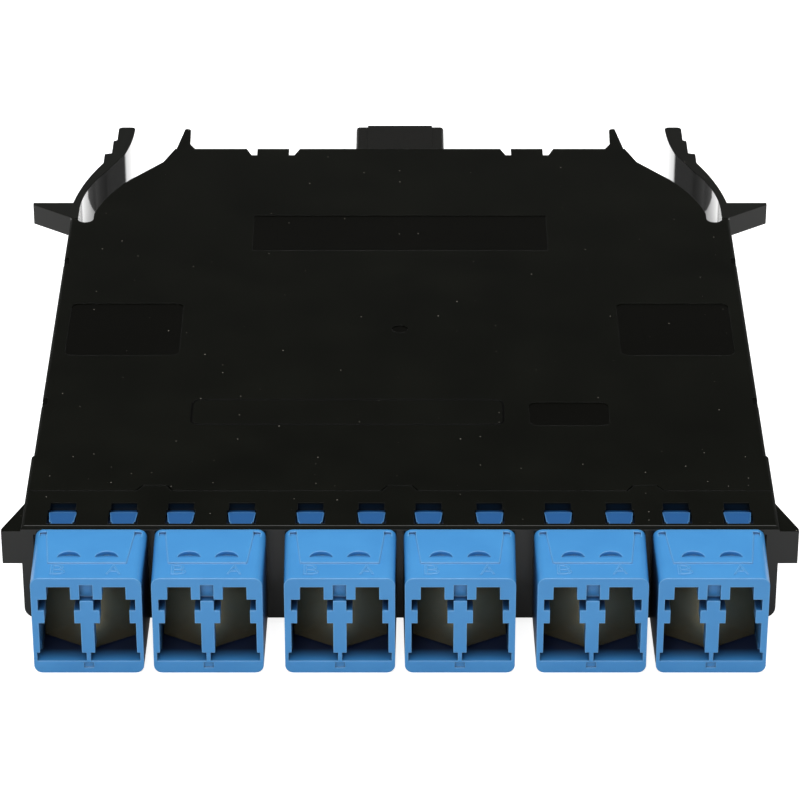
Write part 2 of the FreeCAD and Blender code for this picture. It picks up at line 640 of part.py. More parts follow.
def top_cuts(side):
    """Pocket beside the pad and the scoop in it, on one side of the collar."""
    x = side * (PAD_WIDTH / 2 + POCKET / 2 - FIT)
    pocket = block(x - POCKET / 2, x + POCKET / 2, -PAD_INSET - POCKET, -PAD_INSET,
                   COLLAR_HEIGHT - 2 * PAD_RISE, COLLAR_HEIGHT + 1)
    surface = COLLAR_HEIGHT + PAD_RISE - COLLAR_FALL * SCOOP_INSET / COLLAR_REACH
    disc = rod(SCOOP_RADIUS, (0, 0, -SCOOP_DEPTH), 2 * SCOOP_DEPTH, (0, 0, 1))
    slope = [(0, 0), (SCOOP_RADIUS, -SCOOP_DEPTH), (SCOOP_RADIUS, SCOOP_DEPTH), (0, SCOOP_DEPTH)]
    ramp = closed_wire(slope, lambda y, z: FreeCAD.Vector(-SCOOP_RADIUS, y, z))
    scoop = disc.common(Part.Face(ramp).extrude(FreeCAD.Vector(2 * SCOOP_RADIUS, 0, 0)))
    return [pocket, moved(scoop, side * SCOOP_X, -SCOOP_INSET, surface)]


def port_openings():
    """Everything cut away for the port at +X, from the face to the partition."""
    plug_x = (POST_HALF, PLUG_OUTER_X)
    latch_x = (PORT_X - LATCH_WIDTH / 2, PORT_X + LATCH_WIDTH / 2)
    ledge_x = (PORT_X - LEDGE_GAP / 2, PORT_X + LEDGE_GAP / 2)
    face = [
        (SLOT_WEB, PLUG_OUTER_X + SLOT_SIDE, SILL, SLOT_TOP),
        (plug_x[0], plug_x[1], SILL, LEDGE_BOTTOM),
        (ledge_x[0], ledge_x[1], LEDGE_BOTTOM, LEDGE_TOP),
        (plug_x[0], plug_x[1], LEDGE_TOP, TEE_TOP),
        (latch_x[0], latch_x[1], TEE_TOP, LATCH_TOP),
    ]
    front = FACE_Y - FIT
    back = FACE_Y + FACE_PLATE
    cuts = [block(x0, x1, front, back, z0, z1) for x0, x1, z0, z1 in face]
    cuts.append(block(WEB_HALF, PLUG_OUTER_X, back - FIT, PARTITION_Y, SILL, TEE_TOP))
    cuts.append(block(latch_x[0], latch_x[1], back - FIT, PARTITION_Y, TEE_TOP, LATCH_TOP))
    cuts.append(block(POST_HALF, PLUG_OUTER_X, INNER_PORT_Y, STEM_LENGTH + FIT, SILL, TEE_TOP))
    return cuts


def post_setback():
    """Space in front of the top of the centre post, and the small recess in the lip under it."""
    space = block(-POST_HALF, POST_HALF, FACE_Y - FIT, FACE_Y + POST_SETBACK,
                  TEE_TOP - POST_STEP, LATCH_TOP + POST_RISE)
    dent = block(-DENT_HALF, DENT_HALF, FACE_Y - FIT, FACE_Y + DENT_DEPTH, DENT_LOW, DENT_TOP)
    return [space, dent]


def ferrule_guide():
    """Tube in front of the partition for the port at +X, and the bore through both."""
    front = (PORT_X, BOSS_Y, AXIS_Z)
    tube = rod(BOSS_RADIUS, front, PARTITION_Y - BOSS_Y + FIT)
    return tube, rod(BORE_RADIUS, front, INNER_PORT_Y - BOSS_Y)


def latch_lug(side):
    """Snap lug that stands in a window of the front strip."""
    x = side * WINDOW_OFFSET
    half = WINDOW_WIDTH / 2 - FIT
    start = WINDOW_START + FIT
    step = start + LUG_STEP
    end = start + LUG_LENGTH
    return plan([
        (x - half + LUG_NARROW, start),
        (x + half - LUG_NARROW, start),
        (x + half - LUG_NARROW, step),
        (x + half - LUG_TAPER, step),
        (x + half, end),
        (x - half, end),
        (x - half + LUG_TAPER, step),
        (x - half + LUG_NARROW, step),
    ], STEM_TOP - FIT, HOUSING_TOP - LUG_DROP)


def duplex_adapter():
    """Duplex LC adapter about X = 0: collar, stem, two ports with bosses, and snap lugs."""
    stem = block(-STEM_WIDTH / 2, STEM_WIDTH / 2, 0, STEM_LENGTH, HOUSING_LIFT, STEM_TOP)
    solid = collar().fuse([stem, pad(), latch_lug(-1), latch_lug(1)])
    cuts = post_setback() + top_cuts(-1) + top_cuts(1)
    for cut in port_openings():
        cuts += [cut, mirrored(cut)]
    solid = solid.cut(cuts)
    boss, bore = ferrule_guide()
    solid = solid.fuse([boss, mirrored(boss)]).cut([bore, mirrored(bore)])
    return solid.removeSplitter()


def shutter(side):
    """Closed shutter leaf of one port about the adapter's centre, with a square hem at its hinge."""
    low = SILL + LEAF_CLEARANCE
    high = TEE_TOP - LEAF_CLEARANCE
    half = HEM / 2
    leaf = plan([(-half, -half), (half, -half), (half, -LEAF / 2), (LEAF_REACH, -LEAF / 2),
                 (LEAF_REACH, LEAF / 2), (half, LEAF / 2), (half, half), (-half, half)], low, high)
    leaf.rotate(FreeCAD.Vector(0, 0, 0), FreeCAD.Vector(0, 0, 1), LEAF_SLANT)
    leaf = moved(leaf, HINGE_X, HINGE_Y)
    return leaf if side > 0 else mirrored(leaf)


# --- Inner plugs and fibres --------------------------------------------------------------------
def square(width, y):
    """Square wire round the axis of the port at +X, standing at y."""
    half = width / 2
    return section([(PORT_X - half, AXIS_Z - half), (PORT_X + half, AXIS_Z - half),
                    (PORT_X + half, AXIS_Z + half), (PORT_X - half, AXIS_Z + half)], y)


def inner_plug():
    """Duplex LC plug about X = 0: two ferrules, bodies and boots, joined by a clip."""
    start = CLIP_Y - PLUG_LENGTH
    half = PLUG_SIZE / 2
    body = block(PORT_X - half, PORT_X + half, start, CLIP_Y, AXIS_Z - half, AXIS_Z + half)
    tip = (BOSS_Y + INNER_PORT_Y) / 2
    ferrule = rod(FERRULE_RADIUS, (PORT_X, tip, AXIS_Z), start - tip)
    boot = Part.makeLoft([square(BOOT_WIDTH, CLIP_Y), square(BOOT_END, CLIP_Y + BOOT_LENGTH)],
                         True, True)
    side = body.fuse([ferrule, boot])
    reach = PORT_X + half - CLIP_SIDE
    clip = block(-reach, reach, CLIP_Y, CLIP_Y + CLIP_LENGTH,
                 AXIS_Z - CLIP_HEIGHT / 2, AXIS_Z + CLIP_HEIGHT / 2)
    return clip.fuse([side, mirrored(side)]).removeSplitter()


def fibre(x, index):
    """Fibre from the boot at x to its place in the fan-out, level all the way."""
    goal = (index - (4 * PAIRS - 1) / 2) * FIBRE_PITCH
    boot_end = CLIP_Y + BOOT_LENGTH
    points = [
        FreeCAD.Vector(x, boot_end, AXIS_Z),
        FreeCAD.Vector(x, boot_end + FIBRE_LEAD, AXIS_Z),
        FreeCAD.Vector(goal, FANOUT_Y - FIBRE_LEAD, AXIS_Z),
        FreeCAD.Vector(goal, FANOUT_Y, AXIS_Z),
    ]
    run = (points[2] - points[1]).Length
    reach = min(FIBRE_TURN, run / 2 - FIT, FIBRE_LEAD - FIT)
    edges = []
    start = points[0]
    for before, corner, after in zip(points, points[1:], points[2:]):
        into = (corner - before).normalize()
        out = (after - corner).normalize()
        arc_start = corner - into * reach
        arc_end = corner + out * reach
        turn = into.getAngle(out)
        radius = reach / math.tan(turn / 2)
        bisector = (out - into).normalize()
        centre = corner + bisector * (radius / math.cos(turn / 2))
        middle = centre - bisector * radius
        edges.append(Part.LineSegment(start, arc_start).toShape())
        edges.append(Part.Arc(arc_start, middle, arc_end).toShape())
        start = arc_end
    edges.append(Part.LineSegment(start, points[-1]).toShape())
    profile = section([(x + FIBRE_RADIUS * math.cos(math.radians(angle)),
                        AXIS_Z + FIBRE_RADIUS * math.sin(math.radians(angle)))
                       for angle in range(0, 360, 72)], points[0].y)
    return Part.Wire(edges).makePipeShell([profile], True, False)


def fanout():
    """Body where the twelve fibres join one short cable to the MPO plug."""
    body = block(-FANOUT_HALF, FANOUT_HALF, FANOUT_Y, FANOUT_END_Y,
                 FLOOR_TOP, FLOOR_TOP + FANOUT_HEIGHT)
    corners = [edge for edge in body.Edges if edge.BoundBox.ZLength > FANOUT_HEIGHT / 2]
    return body.makeFillet(EDGE_RADIUS, corners)


# --- MPO adapter and plug ----------------------------------------------------------------------
def mpo_adapter():
    """Adapter in the rear wall: flanged sleeve with a key slot and a ridge along its top."""
    low = MPO_AXIS_Z - MPO_HEIGHT / 2
    high = MPO_AXIS_Z + MPO_HEIGHT / 2
    outside = bar(rounded(MPO_WIDTH, low, high, EDGE_RADIUS, EDGE_RADIUS), MPO_START_Y, MPO_END_Y)
    half = MPO_WIDTH / 2 + MPO_FLANGE
    flange_end = BODY_DEPTH - 2 * WALL - FIT
    flange = block(-half, half, flange_end - MPO_FLANGE_THICK, flange_end, low, high)
    hole = block(-MPO_WIDTH / 2 + MPO_WALL, MPO_WIDTH / 2 - MPO_WALL, MPO_START_Y - FIT,
                 MPO_END_Y + FIT, low + MPO_WALL, high - MPO_WALL)
    key = block(-MPO_KEY_WIDTH / 2, MPO_KEY_WIDTH / 2, MPO_START_Y - FIT, MPO_END_Y + FIT,
                high - MPO_WALL - FIT, high - MPO_WALL + MPO_KEY_DEPTH)
    ridge = block(-MPO_RIDGE_WIDTH / 2, MPO_RIDGE_WIDTH / 2, flange_end, MPO_END_Y,
                  high - MPO_WALL / 2, high + MPO_RIDGE)
    return outside.fuse([flange, ridge]).cut([hole, key]).removeSplitter()


def mpo_plug():
    """MPO plug on the inner side, with its flat ferrule and cable boot."""
    gap = MPO_WALL + MPO_PLAY
    half = MPO_WIDTH / 2 - gap
    high = MPO_HEIGHT / 2 - gap
    start = MPO_NOSE_Y - MPO_PLUG_LENGTH
    body = block(-half, half, start, MPO_NOSE_Y, MPO_AXIS_Z - high, MPO_AXIS_Z + high)
    ferrule = block(-MT_WIDTH / 2, MT_WIDTH / 2, MPO_NOSE_Y - MT_REACH, MPO_NOSE_Y + MT_REACH,
                    MPO_AXIS_Z - MT_HEIGHT / 2, MPO_AXIS_Z + MT_HEIGHT / 2)
    cable = rod(CABLE_RADIUS, (0, FANOUT_END_Y, MPO_AXIS_Z - CABLE_RADIUS), CABLE_RUN + FIT)
    return body.fuse([ferrule, cable]).removeSplitter()


# --- Save --------------------------------------------------------------------------------------
def save(name, shape):
    """Write one sub-part, moved onto the origin."""
    shape = moved(shape, TO_ORIGIN.x, TO_ORIGIN.y, TO_ORIGIN.z)
    if not shape.isValid() or len(shape.Solids) != 1:
        print("CHECK", name, shape.isValid(), len(shape.Solids))
    shape.exportStep("parts/" + name + ".step")


def main():
    os.makedirs("parts", exist_ok=True)
    save("housing_base", housing_base())
    save("housing_cover", housing_cover())
    arm = release_arm()
    save("release_arm_right", arm)
    save("release_arm_left", mirrored(arm))
    save("mpo_adapter", mpo_adapter())
    save("mpo_plug", mpo_plug())
    save("fanout", fanout())
    shell = duplex_adapter()
    leaves = {"a": shutter(-1), "b": shutter(1)}
    plug = inner_plug()
    for number, x in enumerate(ADAPTER_XS, start=1):
        save(f"adapter_{number}", moved(shell, x))
        save(f"inner_plug_{number}", moved(plug, x))
        for letter, side in (("a", -1), ("b", 1)):
            port = x + side * PORT_X
            index = 2 * (number - 1) + (letter == "b")
            save(f"shutter_{number}{letter}", moved(leaves[letter], x))
            save(f"fibre_{number}{letter}", fibre(port, index))


main()
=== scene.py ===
import math

import bmesh
import bpy
import numpy as np
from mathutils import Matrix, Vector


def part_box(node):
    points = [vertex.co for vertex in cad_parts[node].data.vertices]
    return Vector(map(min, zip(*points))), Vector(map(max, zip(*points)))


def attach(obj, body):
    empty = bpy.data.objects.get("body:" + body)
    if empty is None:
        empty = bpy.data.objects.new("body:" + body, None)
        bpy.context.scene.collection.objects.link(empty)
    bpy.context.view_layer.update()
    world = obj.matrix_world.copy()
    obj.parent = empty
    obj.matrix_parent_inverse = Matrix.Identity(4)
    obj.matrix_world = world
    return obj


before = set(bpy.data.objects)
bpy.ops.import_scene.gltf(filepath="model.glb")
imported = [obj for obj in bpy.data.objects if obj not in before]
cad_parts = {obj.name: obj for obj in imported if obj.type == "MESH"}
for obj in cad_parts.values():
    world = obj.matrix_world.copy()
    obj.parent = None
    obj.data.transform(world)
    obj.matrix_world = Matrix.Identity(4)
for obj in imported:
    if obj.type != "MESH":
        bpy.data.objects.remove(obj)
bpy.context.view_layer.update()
MM = 0.001

# --- Housing and release arms ------------------------------------------------------------------
# The housing is moulded in black polycarbonate blend: base, lid and the two squeeze arms.
# Base and lid come from a smooth tool and show their dust. The arms are spark-eroded outside, and
# the slots beside them were formed by polished cores.


def linear(code):
    """Linear colour of an sRGB hex value: each channel through the sRGB curve."""
    parts = np.array([int(code[i:i + 2], 16) for i in (1, 3, 5)]) / 255
    curve = np.where(parts <= 0.04045, parts / 12.92, ((parts + 0.055) / 1.055) ** 2.4)
    return (*curve.tolist(), 1.0)


def add(tree, kind, links=None, inputs=None, **settings):
    """Adds a shader node with its settings, its socket values and its links."""
    made = tree.nodes.new("ShaderNode" + kind)
    for key, value in settings.items():
        setattr(made, key, value)
    for key, value in (inputs or {}).items():
        made.inputs[key].default_value = value
    for key, source in (links or {}).items():
        tree.links.new(source, made.inputs[key])
    return made


def finish_named(name):
    """An empty material with its tree, its surface shader and the object's own coordinates."""
    made = bpy.data.materials.new(name)
    made.use_nodes = True
    tree = made.node_tree
    shader = tree.nodes["Principled BSDF"]
    place = add(tree, "TexCoord").outputs["Object"]
    return made, tree, shader, place


def dress(material, *names):
    """Gives the named CAD pieces one material."""
    for name in names:
        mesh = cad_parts[name].data
        mesh.materials.clear()
        mesh.materials.append(material)


# moulded polycarbonate blend: nearly black, so it mirrors the room at flat angles. The floors of
# the recesses are a little darker, and rounded edges are left dull by the parting line.
POLYCARBONATE_IOR = 1.5
FLOW_MARK = 9 * MM       # size of the cloudy flow marks in the skin
GRAIN = 0.22 * MM        # coarser than the real grain of a few hundredths, so that it shows
GRAIN_DEPTH = 0.02 * MM
EDGE_RADIUS = 0.03 * MM
DULL_EDGE = 0.85         # roughness of rounded edges and of the recesses' walls
DULL_SHINE = 0.15        # and their specular level
EDGE_TILT = 0.62         # height of the normal on a rounded edge, give or take EDGE_SPREAD
EDGE_SPREAD = 0.33
RECESS_ZONE = 0.13 * MM  # the recesses' walls lie in this top layer of the lid
RECESS_DEPTH = 0.12 * MM  # of the recesses' floors, give or take DEPTH_SPREAD
DEPTH_SPREAD = 0.08 * MM
CORE_POLISH = 0.06       # roughness of the slots beside the arms
SLOT_BEND = 0.8 * MM     # the slots' walls run smoothly through their bends
SIDEWAYS = 8 * MM        # least product of x and the normal's x on a wall out at the arms
DUST_CELL = 2.4 * MM     # one speck at most in each cell of this size
DUST_SIZE = 0.035        # largest speck, as a share of its cell
front_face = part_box("housing_base")[0][1]
lid_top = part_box("housing_cover")[1][2]
arm_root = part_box("release_arm_left")[0][1]


def black_moulding(name, smoothest, roughest, dark="#0b0c08", light="#10110c", cored=1):
    """Black plastic whose roughness wanders between two values, with dust on what looks up.

    Beside the arms the walls that look out are polished, or with cored -1 those that look in.
    """
    made, tree, shader, place = finish_named(name)
    shader.inputs["IOR"].default_value = POLYCARBONATE_IOR
    cloud = add(tree, "TexNoise", {"Vector": place}, {"Scale": 1 / FLOW_MARK, "Detail": 4.0})
    tone = add(tree, "ValToRGB", {"Fac": cloud.outputs["Fac"]})
    ramp = tone.color_ramp.elements
    ramp[0].position, ramp[0].color = 0.3, linear(dark)
    ramp[1].position, ramp[1].color = 0.72, linear(light)
    facing = add(tree, "NewGeometry")
    normal = add(tree, "SeparateXYZ", {"Vector": facing.outputs["Normal"]})
    spot = add(tree, "SeparateXYZ", {"Vector": place})
    upward = add(tree, "Math", {0: normal.outputs["Z"]}, {1: 0.9}, operation="GREATER_THAN")
    # dull: rounded edges look half up, and the recesses' walls lie just below the lid's top
    rounded = add(tree, "Math", {0: normal.outputs["Z"]}, {1: EDGE_TILT, 2: EDGE_SPREAD},
                  operation="COMPARE")
    near_top = add(tree, "Math", {0: spot.outputs["Z"]}, {1: lid_top - RECESS_ZONE},
                   operation="GREATER_THAN")
    recess_wall = add(tree, "Math", {0: near_top.outputs[0], 1: upward.outputs[0]},
                      operation="SUBTRACT")
    dull = add(tree, "Math", {0: rounded.outputs[0], 1: recess_wall.outputs[0]},
               operation="MAXIMUM")
    # polished: upright walls behind the arms' roots that look into the slots
    facing_out = add(tree, "Math", {0: spot.outputs["X"], 1: normal.outputs["X"]},
                     operation="MULTIPLY")
    slot_side = add(tree, "Math", {0: facing_out.outputs[0]}, {1: cored}, operation="MULTIPLY")
    turned = add(tree, "Math", {0: slot_side.outputs[0]}, {1: SIDEWAYS}, operation="GREATER_THAN")
    upright = add(tree, "Math", {0: normal.outputs["Z"]}, {1: 0.0, 2: 0.5}, operation="COMPARE")
    behind = add(tree, "Math", {0: spot.outputs["Y"]}, {1: arm_root}, operation="GREATER_THAN")
    slot_wall = add(tree, "Math", {0: turned.outputs[0], 1: upright.outputs[0]},
                    operation="MULTIPLY")
    core = add(tree, "Math", {0: slot_wall.outputs[0], 1: behind.outputs[0]},
               operation="MULTIPLY")
    sheen = add(tree, "MapRange", {"Value": cloud.outputs["Fac"]},
                {"To Min": smoothest, "To Max": roughest})
    glossy = add(tree, "Mix", {"Factor": core.outputs[0], "A": sheen.outputs["Result"]},
                 {"B": CORE_POLISH})
    rough = add(tree, "Mix", {"Factor": dull.outputs[0], "A": glossy.outputs["Result"]},
                {"B": DULL_EDGE})
    tree.links.new(rough.outputs["Result"], shader.inputs["Roughness"])
    shine = add(tree, "Mix", {"Factor": dull.outputs[0]}, {"A": 0.5, "B": DULL_SHINE})
    tree.links.new(shine.outputs["Result"], shader.inputs["Specular IOR Level"])
    below = add(tree, "Math", {0: spot.outputs["Z"]}, {1: lid_top - RECESS_DEPTH, 2: DEPTH_SPREAD},
                operation="COMPARE")
    recess_floor = add(tree, "Math", {0: below.outputs[0], 1: upward.outputs[0]},
                       operation="MULTIPLY")
    floor_tone = add(tree, "Mix", {"Factor": recess_floor.outputs[0], "A": tone.outputs["Color"]},
                     {"B": linear("#070704")}, data_type="RGBA")
    # most of the dust lies near the ports: one speck in some of the cells
    near_ports = add(tree, "MapRange", {"Value": spot.outputs["Y"]},
                     {"From Min": front_face + 4 * MM, "From Max": front_face + 22 * MM,
                      "To Min": 0.68, "To Max": 0.88})
    cell = add(tree, "TexVoronoi", {"Vector": place}, {"Scale": 1 / DUST_CELL},
               voronoi_dimensions="2D")
    chance = add(tree, "SeparateColor", {"Color": cell.outputs["Color"]})
    size = add(tree, "MapRange",
               {"Value": chance.outputs["Red"], "From Min": near_ports.outputs["Result"]},
               {"From Max": 1.0, "To Min": 0.0, "To Max": DUST_SIZE})
    speck = add(tree, "Math", {0: cell.outputs["Distance"], 1: size.outputs["Result"]},
                operation="LESS_THAN")
    dusty = add(tree, "Math", {0: speck.outputs[0], 1: upward.outputs[0]}, operation="MULTIPLY")
    skin = add(tree, "Mix", {"Factor": dusty.outputs[0], "A": floor_tone.outputs["Result"]},
               {"B": linear("#8a867c")}, data_type="RGBA")
    tree.links.new(skin.outputs["Result"], shader.inputs["Base Color"])
    grain = add(tree, "TexNoise", {"Vector": place}, {"Scale": 1 / GRAIN, "Detail": 2.0})
    edge = add(tree, "Bevel", None, {"Radius": EDGE_RADIUS}, samples=6)
    relief = add(tree, "Bump", {"Height": grain.outputs["Fac"], "Normal": edge.outputs["Normal"]},
                 {"Strength": 0.12, "Distance": GRAIN_DEPTH})
    # the polished walls take a wide bevel, kept level
    bend = add(tree, "Bevel", None, {"Radius": SLOT_BEND}, samples=8)
    level = add(tree, "VectorMath", {0: bend.outputs["Normal"]}, {1: (1.0, 1.0, 0.0)},
                operation="MULTIPLY")
    swept = add(tree, "VectorMath", {0: level.outputs[0]}, operation="NORMALIZE")
    surface = add(tree, "Mix", {"Factor": core.outputs[0], "A": relief.outputs["Normal"],
                                "B": swept.outputs[0]}, data_type="VECTOR")
    tree.links.new(surface.outputs["Result"], shader.inputs["Normal"])
    return made


dress(black_moulding("moulded_black_polycarbonate", 0.15, 0.2), "housing_base", "housing_cover")
dress(black_moulding("spark_eroded_black_polycarbonate", 0.3, 0.36, cored=-1),
      "release_arm_left", "release_arm_right")


def moulded_piece(name, points, faces, material):
    """A closed mesh: points in one place become one, its faces look outwards, it rides along."""
    mesh = bpy.data.meshes.new(name)
    mesh.from_pydata(points.tolist(), [], faces)
    work = bmesh.new()
    work.from_mesh(mesh)
    bmesh.ops.remove_doubles(work, verts=work.verts, dist=1e-7)
    bmesh.ops.recalc_face_normals(work, faces=work.faces)
    work.to_mesh(mesh)
    work.free()
    mesh.materials.append(material)
    made = bpy.data.objects.new(name, mesh)
    bpy.context.collection.objects.link(made)
    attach(made, "cassette")


# A bare name field on the lid: its border is a raised polished line with rounded corners, coloured
# darker than the lid as painted shade of a groove. Each point of the line is the field's corner
# centre plus a step outwards of the corner's radius.
FIELD_LEFT, FIELD_RIGHT = -25.2 * MM, 12.6 * MM
FIELD_FRONT, FIELD_REAR = front_face + 23.1 * MM, front_face + 29.4 * MM
FIELD_CORNER = 1.3 * MM
LINE_WIDTH = 0.4 * MM
LINE_RISE = 0.03 * MM
LINE_ROOT = 0.05 * MM
LINE_SLOPE = 0.08 * MM
# the line's profile: how far in from the field's edge, and how high above the lid
profile = np.array([(0.0, -LINE_ROOT), (LINE_SLOPE, LINE_RISE),
                    (LINE_WIDTH - LINE_SLOPE, LINE_RISE), (LINE_WIDTH, -LINE_ROOT)])
# four quarters of a circle, each pushed out to its own corner, carry the profile round
STEPS = 48
angle = (np.arange(STEPS) + 0.5) / STEPS * 2 * math.pi
across, along = np.cos(angle)[:, None], np.sin(angle)[:, None]
reach = FIELD_CORNER - profile[None, :, 0]
half_x = (FIELD_RIGHT - FIELD_LEFT) / 2 - FIELD_CORNER
half_y = (FIELD_REAR - FIELD_FRONT) / 2 - FIELD_CORNER
x = (FIELD_LEFT + FIELD_RIGHT) / 2 + across * reach + np.sign(across) * half_x
y = (FIELD_FRONT + FIELD_REAR) / 2 + along * reach + np.sign(along) * half_y
z = lid_top + np.broadcast_to(profile[None, :, 1], x.shape)
row, column = np.meshgrid(np.arange(STEPS), np.arange(len(profile)), indexing="ij")
next_row, next_column = (row + 1) % STEPS, (column + 1) % len(profile)
quads = np.stack([row * len(profile) + column, next_row * len(profile) + column,
                  next_row * len(profile) + next_column, row * len(profile) + next_column], -1)
# painted shade: the border line's colours are darker than the lid's, for the shade in a groove
polish_with_painted_shade = black_moulding("polished_black_polycarbonate_painted_shade", 0.12, 0.16, "#030302", "#050504")
moulded_piece("name_field", np.stack([x, y, z], -1).reshape(-1, 3),
              quads.reshape(-1, 4).tolist(), polish_with_painted_shade)

# --- Adapters ----------------------------------------------------------------------------------
# Six duplex adapters in bright blue polybutylene, snapped into the front edge.
# Their tool is finely grained, so they are satin beside the smooth housing.

ADAPTERS = [f"adapter_{n}" for n in range(1, 7)]

# moulded polybutylene terephthalate: opaque mid blue with a soft sheen and rounded edges that
# carry a painted pale highlight;
# the snap lugs inside the housing are coloured darker, as painted shade
COLLAR_FLOW = 6 * MM     # size of the cloudy flow marks in the skin
COLLAR_GRAIN = 0.3 * MM  # coarser than the real grain, so that it shows
COLLAR_EDGE = 0.25 * MM  # radius of the moulding's edges
PORT_SHADE = 5 * MM      # walls closer than this keep the light out of a port
blue_plastic, tree, shader, place = finish_named("moulded_blue_polybutylene")
shader.inputs["Roughness"].default_value = 0.34
shader.inputs["IOR"].default_value = 1.54
cloud = add(tree, "TexNoise", {"Vector": place}, {"Scale": 1 / COLLAR_FLOW, "Detail": 3.0})
tone = add(tree, "ValToRGB", {"Fac": cloud.outputs["Fac"]})
ramp = tone.color_ramp.elements
ramp[0].position, ramp[0].color = 0.3, linear("#4191d3")
ramp[1].position, ramp[1].color = 0.7, linear("#4798d9")
spot = add(tree, "SeparateXYZ", {"Vector": place})
# painted shade: behind the front face the lugs are coloured darker, for the shade of the window
# walls around them
lug_painted_shade = add(tree, "MapRange", {"Value": spot.outputs["Y"]},
             {"From Min": front_face + 0.5 * MM, "From Max": front_face + 1.5 * MM})
dull = add(tree, "Mix", {"Factor": lug_painted_shade.outputs["Result"], "A": tone.outputs["Color"]},
           {"B": linear("#1f5b97")}, data_type="RGBA")
# painted shade: deep inside the ports and slots, where close walls keep the light out, the colour
# goes dark navy, and so does the ports' floor behind the opening
depth = add(tree, "AmbientOcclusion", None, {"Distance": PORT_SHADE}, samples=8)
deep_painted_shade = add(tree, "MapRange", {"Value": depth.outputs["AO"]}, {"From Min": 0.5, "From Max": 0.1})
facing = add(tree, "NewGeometry")
normal = add(tree, "SeparateXYZ", {"Vector": facing.outputs["Normal"]})
upward = add(tree, "Math", {0: normal.outputs["Z"]}, {1: 0.7}, operation="GREATER_THAN")
collar_low, collar_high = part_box("adapter_1")
low = add(tree, "Math", {0: spot.outputs["Z"]}, {1: (collar_low[2] + collar_high[2]) / 2},
          operation="LESS_THAN")
behind = add(tree, "MapRange", {"Value": spot.outputs["Y"]},
             {"From Min": collar_low[1] + 0.3 * MM, "From Max": collar_low[1] + 2.5 * MM})
low_floor = add(tree, "Math", {0: upward.outputs[0], 1: low.outputs[0]}, operation="MULTIPLY")
floor_painted_shade = add(tree, "Math", {0: low_floor.outputs[0], 1: behind.outputs["Result"]},
                 operation="MULTIPLY")
shaded = add(tree, "Math", {0: floor_painted_shade.outputs[0], 1: deep_painted_shade.outputs["Result"]},
             operation="MAXIMUM")
painted_shade_hue = add(tree, "Mix", {"Factor": shaded.outputs[0], "A": dull.outputs["Result"]},
          {"B": linear("#1b2745")}, data_type="RGBA")
# painted highlight: a pale line runs along each rounded edge, fading where the edge lies in deep
# shade
edge = add(tree, "Bevel", None, {"Radius": COLLAR_EDGE}, samples=8)
turn = add(tree, "VectorMath", {0: edge.outputs["Normal"], 1: facing.outputs["Normal"]},
           operation="DOT_PRODUCT")
edge_turn = add(tree, "MapRange", {"Value": turn.outputs["Value"]},
           {"From Min": 0.99, "From Max": 0.85, "To Max": 0.75})
painted_edge_highlight = add(tree, "Math", {0: edge_turn.outputs["Result"], 1: depth.outputs["AO"]}, operation="MULTIPLY")
highlighted_hue = add(tree, "Mix", {"Factor": painted_edge_highlight.outputs[0], "A": painted_shade_hue.outputs["Result"]},
           {"B": linear("#80c2f8")}, data_type="RGBA")
tree.links.new(highlighted_hue.outputs["Result"], shader.inputs["Base Color"])
grain = add(tree, "TexNoise", {"Vector": place}, {"Scale": 1 / COLLAR_GRAIN, "Detail": 2.0})
relief = add(tree, "Bump", {"Height": grain.outputs["Fac"], "Normal": edge.outputs["Normal"]},
             {"Strength": 0.15, "Distance": GRAIN_DEPTH})
tree.links.new(relief.outputs["Normal"], shader.inputs["Normal"])
dress(blue_plastic, *ADAPTERS)

# Port letters B and A, raised a hair above the collar's top in the same moulding.
LETTER_WIDTH = 1.7 * MM
LETTER_HEIGHT = 1.9 * MM
LETTER_RISE = 0.05 * MM
LETTER_ROOT = 0.15 * MM
LETTER_FRONT = front_face - 9.35 * MM
LETTER_X = {"B": -3.2 * MM, "A": 3.05 * MM}


def letter_plate(sign):
    """A letter as a closed plate: points scaled so that x, y and z each run from 0 to 1."""
    words = bpy.data.curves.new("sign", "FONT")
    words.body, words.extrude, words.resolution_u = sign, 0.1, 3
    maker = bpy.data.objects.new("sign", words)
    plate = bpy.data.meshes.new_from_object(maker)
    bpy.data.objects.remove(maker)
    points = np.empty(3 * len(plate.vertices))
    plate.vertices.foreach_get("co", points)
    points = points.reshape(-1, 3)
    points = (points - points.min(axis=0)) / np.ptp(points, axis=0)
    faces = [tuple(face.vertices) for face in plate.polygons]
    bpy.data.meshes.remove(plate)
    return points, faces


bpy.context.view_layer.update()
PLATES = {sign: letter_plate(sign) for sign in LETTER_X}
for name in ADAPTERS:
    low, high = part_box(name)
    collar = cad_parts[name]
    points, faces, count = [], [], 0
    for sign, offset in LETTER_X.items():
        plate, rings = PLATES[sign]
        middle = (low[0] + high[0]) / 2 + offset
        top = [collar.ray_cast((middle, LETTER_FRONT + away, high[2] + MM), (0, 0, -1))[1][2]
               for away in (0.0, LETTER_HEIGHT)]
        x = middle + (plate[:, 0] - 0.5) * LETTER_WIDTH
        y = LETTER_FRONT + plate[:, 1] * LETTER_HEIGHT
        z = (top[0] + (top[1] - top[0]) * plate[:, 1] - LETTER_ROOT
             + plate[:, 2] * (LETTER_ROOT + LETTER_RISE))
        points.append(np.column_stack((x, y, z)))
        faces += [tuple(corner + count for corner in ring) for ring in rings]
        count += len(plate)
    moulded_piece("letters_" + name, np.concatenate(points), faces, blue_plastic)

# --- Shutter leaves ----------------------------------------------------------------------------
# Each port is shut by a thin spring leaf that swings in beside the centre post.
# The leaf is blackened bronze strip, rolled and tumbled.

